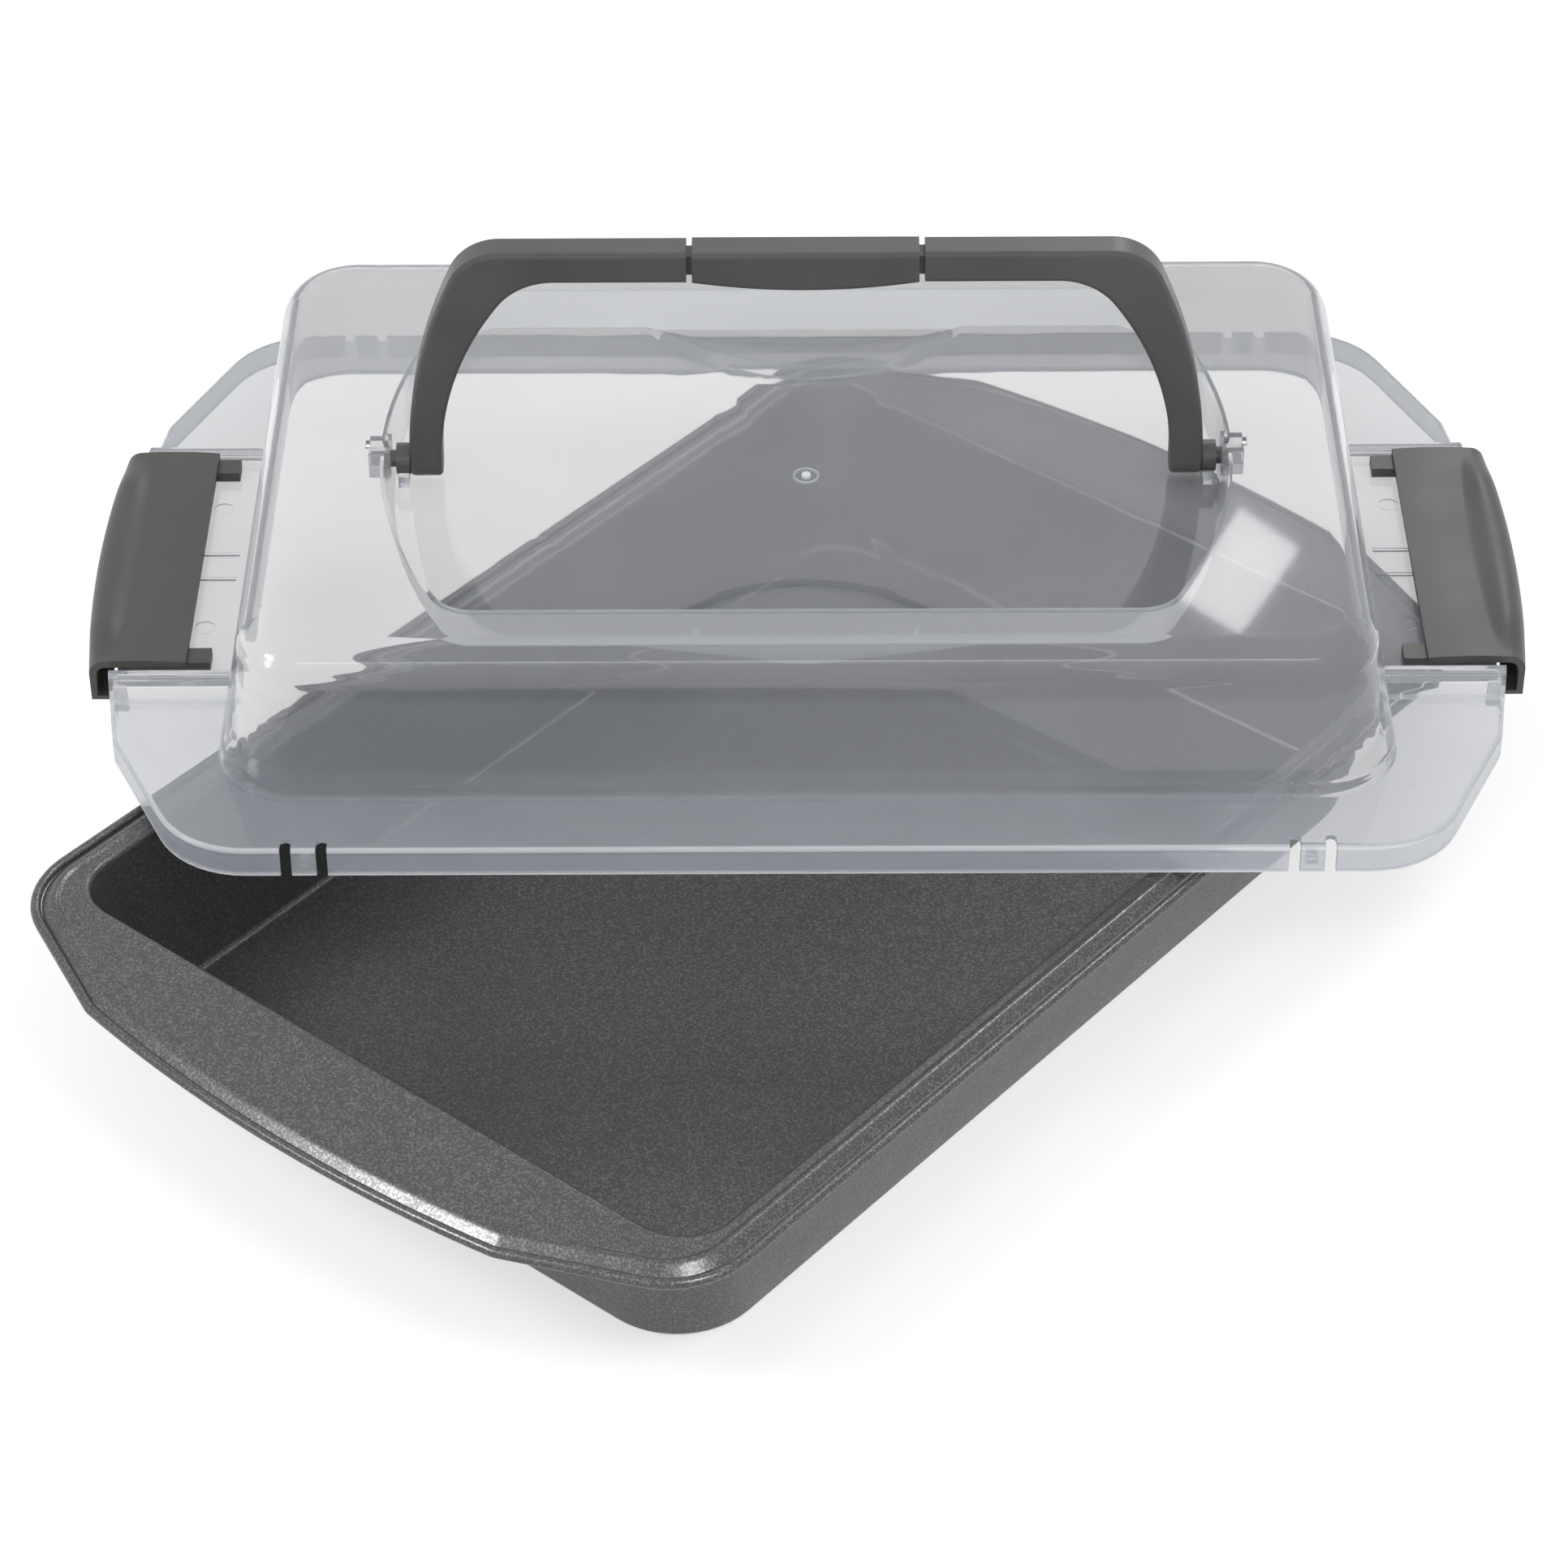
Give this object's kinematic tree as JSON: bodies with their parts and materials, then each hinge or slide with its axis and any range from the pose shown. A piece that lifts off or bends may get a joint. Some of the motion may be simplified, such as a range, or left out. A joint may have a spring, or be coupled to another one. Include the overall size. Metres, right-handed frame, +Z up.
{
  "type": "cake pan with lid",
  "caption": "Oblong metal cake pan with flared end handles, and a clear domed lid with a folding carry handle and sliding end latches lying turned on its rim.",
  "frame": {"origin": "middle of the pan's underside", "axes": "+Z up, X along the pan's long side. The lid lies turned 50.3 degrees clockwise from above, as in the picture"},
  "size_m": [0.4773, 0.4264, 0.1748],
  "materials": {
    "coated_steel": "dark grey non-stick bake coat with fine metallic speckle",
    "clear_plastic": "clear, slightly hazy moulded polypropylene",
    "grey_plastic": "satin moulded plastic"
  },
  "bodies": {
    "pan": {"pan_body": "coated_steel"},
    "lid": {"lid_shell": "clear_plastic"},
    "carry_handle": {"handle_arm_left": "grey_plastic", "handle_arm_right": "grey_plastic", "handle_grip": "grey_plastic"},
    "left_latch": {"latch_left": "grey_plastic"},
    "right_latch": {"latch_right": "grey_plastic"}
  },
  "joints": [
    {"name": "lid_lift", "type": "slide", "parent": "pan", "child": "lid", "axis": [0, 0, 1], "range_m": [0, 0.12]},
    {"name": "handle_fold", "type": "hinge", "parent": "lid", "child": "carry_handle", "pos_m": [0.0696, 0.0412, 0.1023], "axis": [0.6388, -0.7694, 0], "range_deg": [-90, 90]},
    {"name": "left_latch_slide", "type": "slide", "parent": "lid", "child": "left_latch", "axis": [0.6388, -0.7694, 0], "range_m": [0, 0.0048]},
    {"name": "right_latch_slide", "type": "slide", "parent": "lid", "child": "right_latch", "axis": [-0.6388, 0.7694, 0], "range_m": [0, 0.0048]}
  ]
}
